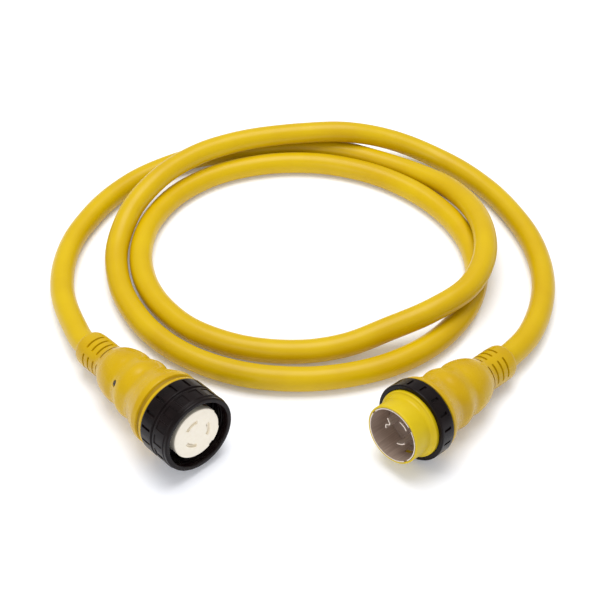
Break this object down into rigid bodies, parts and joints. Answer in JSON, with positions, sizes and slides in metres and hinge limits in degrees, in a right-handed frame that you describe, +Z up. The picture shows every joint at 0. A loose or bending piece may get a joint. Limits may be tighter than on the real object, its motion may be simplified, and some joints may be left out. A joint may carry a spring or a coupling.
{
  "type": "shore power cord",
  "caption": "Heavy round shore power cord in loose loops, with a locking blade plug on one end and a locking socket connector on the other.",
  "frame": {"origin": "on the floor, under the middle of the two ends' box, the cable itself not counted", "axes": "+X from the connector's side to the plug's side, +Y back over the loops of cable, +Z up"},
  "size_m": [0.5413, 0.5155, 0.0817],
  "materials": {
    "moulded_casing": "satin moulded vinyl",
    "hard_sleeve": "semi-gloss",
    "locking_ring": "satin",
    "seal_rubber": "matt",
    "contact_block_pale": "satin",
    "contact_block_dark": "satin",
    "brass_contact": "brushed",
    "plated_metal": "nickel plated, brushed",
    "smoked_lens": "gloss",
    "lamp": "gloss",
    "cable_jacket": "semi-gloss",
    "wire_black": "satin",
    "wire_red": "satin",
    "wire_white": "satin",
    "wire_green": "satin"
  },
  "bodies": {
    "cord_set": {"connector_casing": "moulded_casing", "connector_insert": "contact_block_pale", "connector_gasket": "seal_rubber", "contact_line_1": "brass_contact", "contact_line_2": "brass_contact", "contact_neutral": "brass_contact", "contact_ground": "brass_contact", "indicator_lens": "smoked_lens", "indicator_lamp": "lamp", "connector_wire_black": "wire_black", "connector_wire_red": "wire_red", "connector_wire_white": "wire_white", "connector_wire_green": "wire_green", "plug_casing": "moulded_casing", "plug_shroud": "hard_sleeve", "plug_shell": "plated_metal", "plug_base": "contact_block_dark", "blade_neutral": "plated_metal", "blade_line_1": "plated_metal", "blade_line_2": "plated_metal", "plug_washer": "seal_rubber", "plug_wire_black": "wire_black", "plug_wire_red": "wire_red", "plug_wire_white": "wire_white", "plug_wire_green": "wire_green", "cord": "cable_jacket"},
    "connector_ring_body": {"connector_ring": "locking_ring"},
    "plug_ring_body": {"plug_ring": "locking_ring"}
  },
  "joints": [
    {"name": "connector_ring_turn", "type": "hinge", "parent": "cord_set", "child": "connector_ring_body", "pos_m": [-0.0863, -0.0573, 0.04433], "axis": [0.6718, -0.7306, 0.1219], "continuous": true},
    {"name": "plug_ring_turn", "type": "hinge", "parent": "cord_set", "child": "plug_ring_body", "pos_m": [0.0875, -0.0577, 0.04401], "axis": [-0.7091, -0.6883, 0.153], "continuous": true}
  ]
}
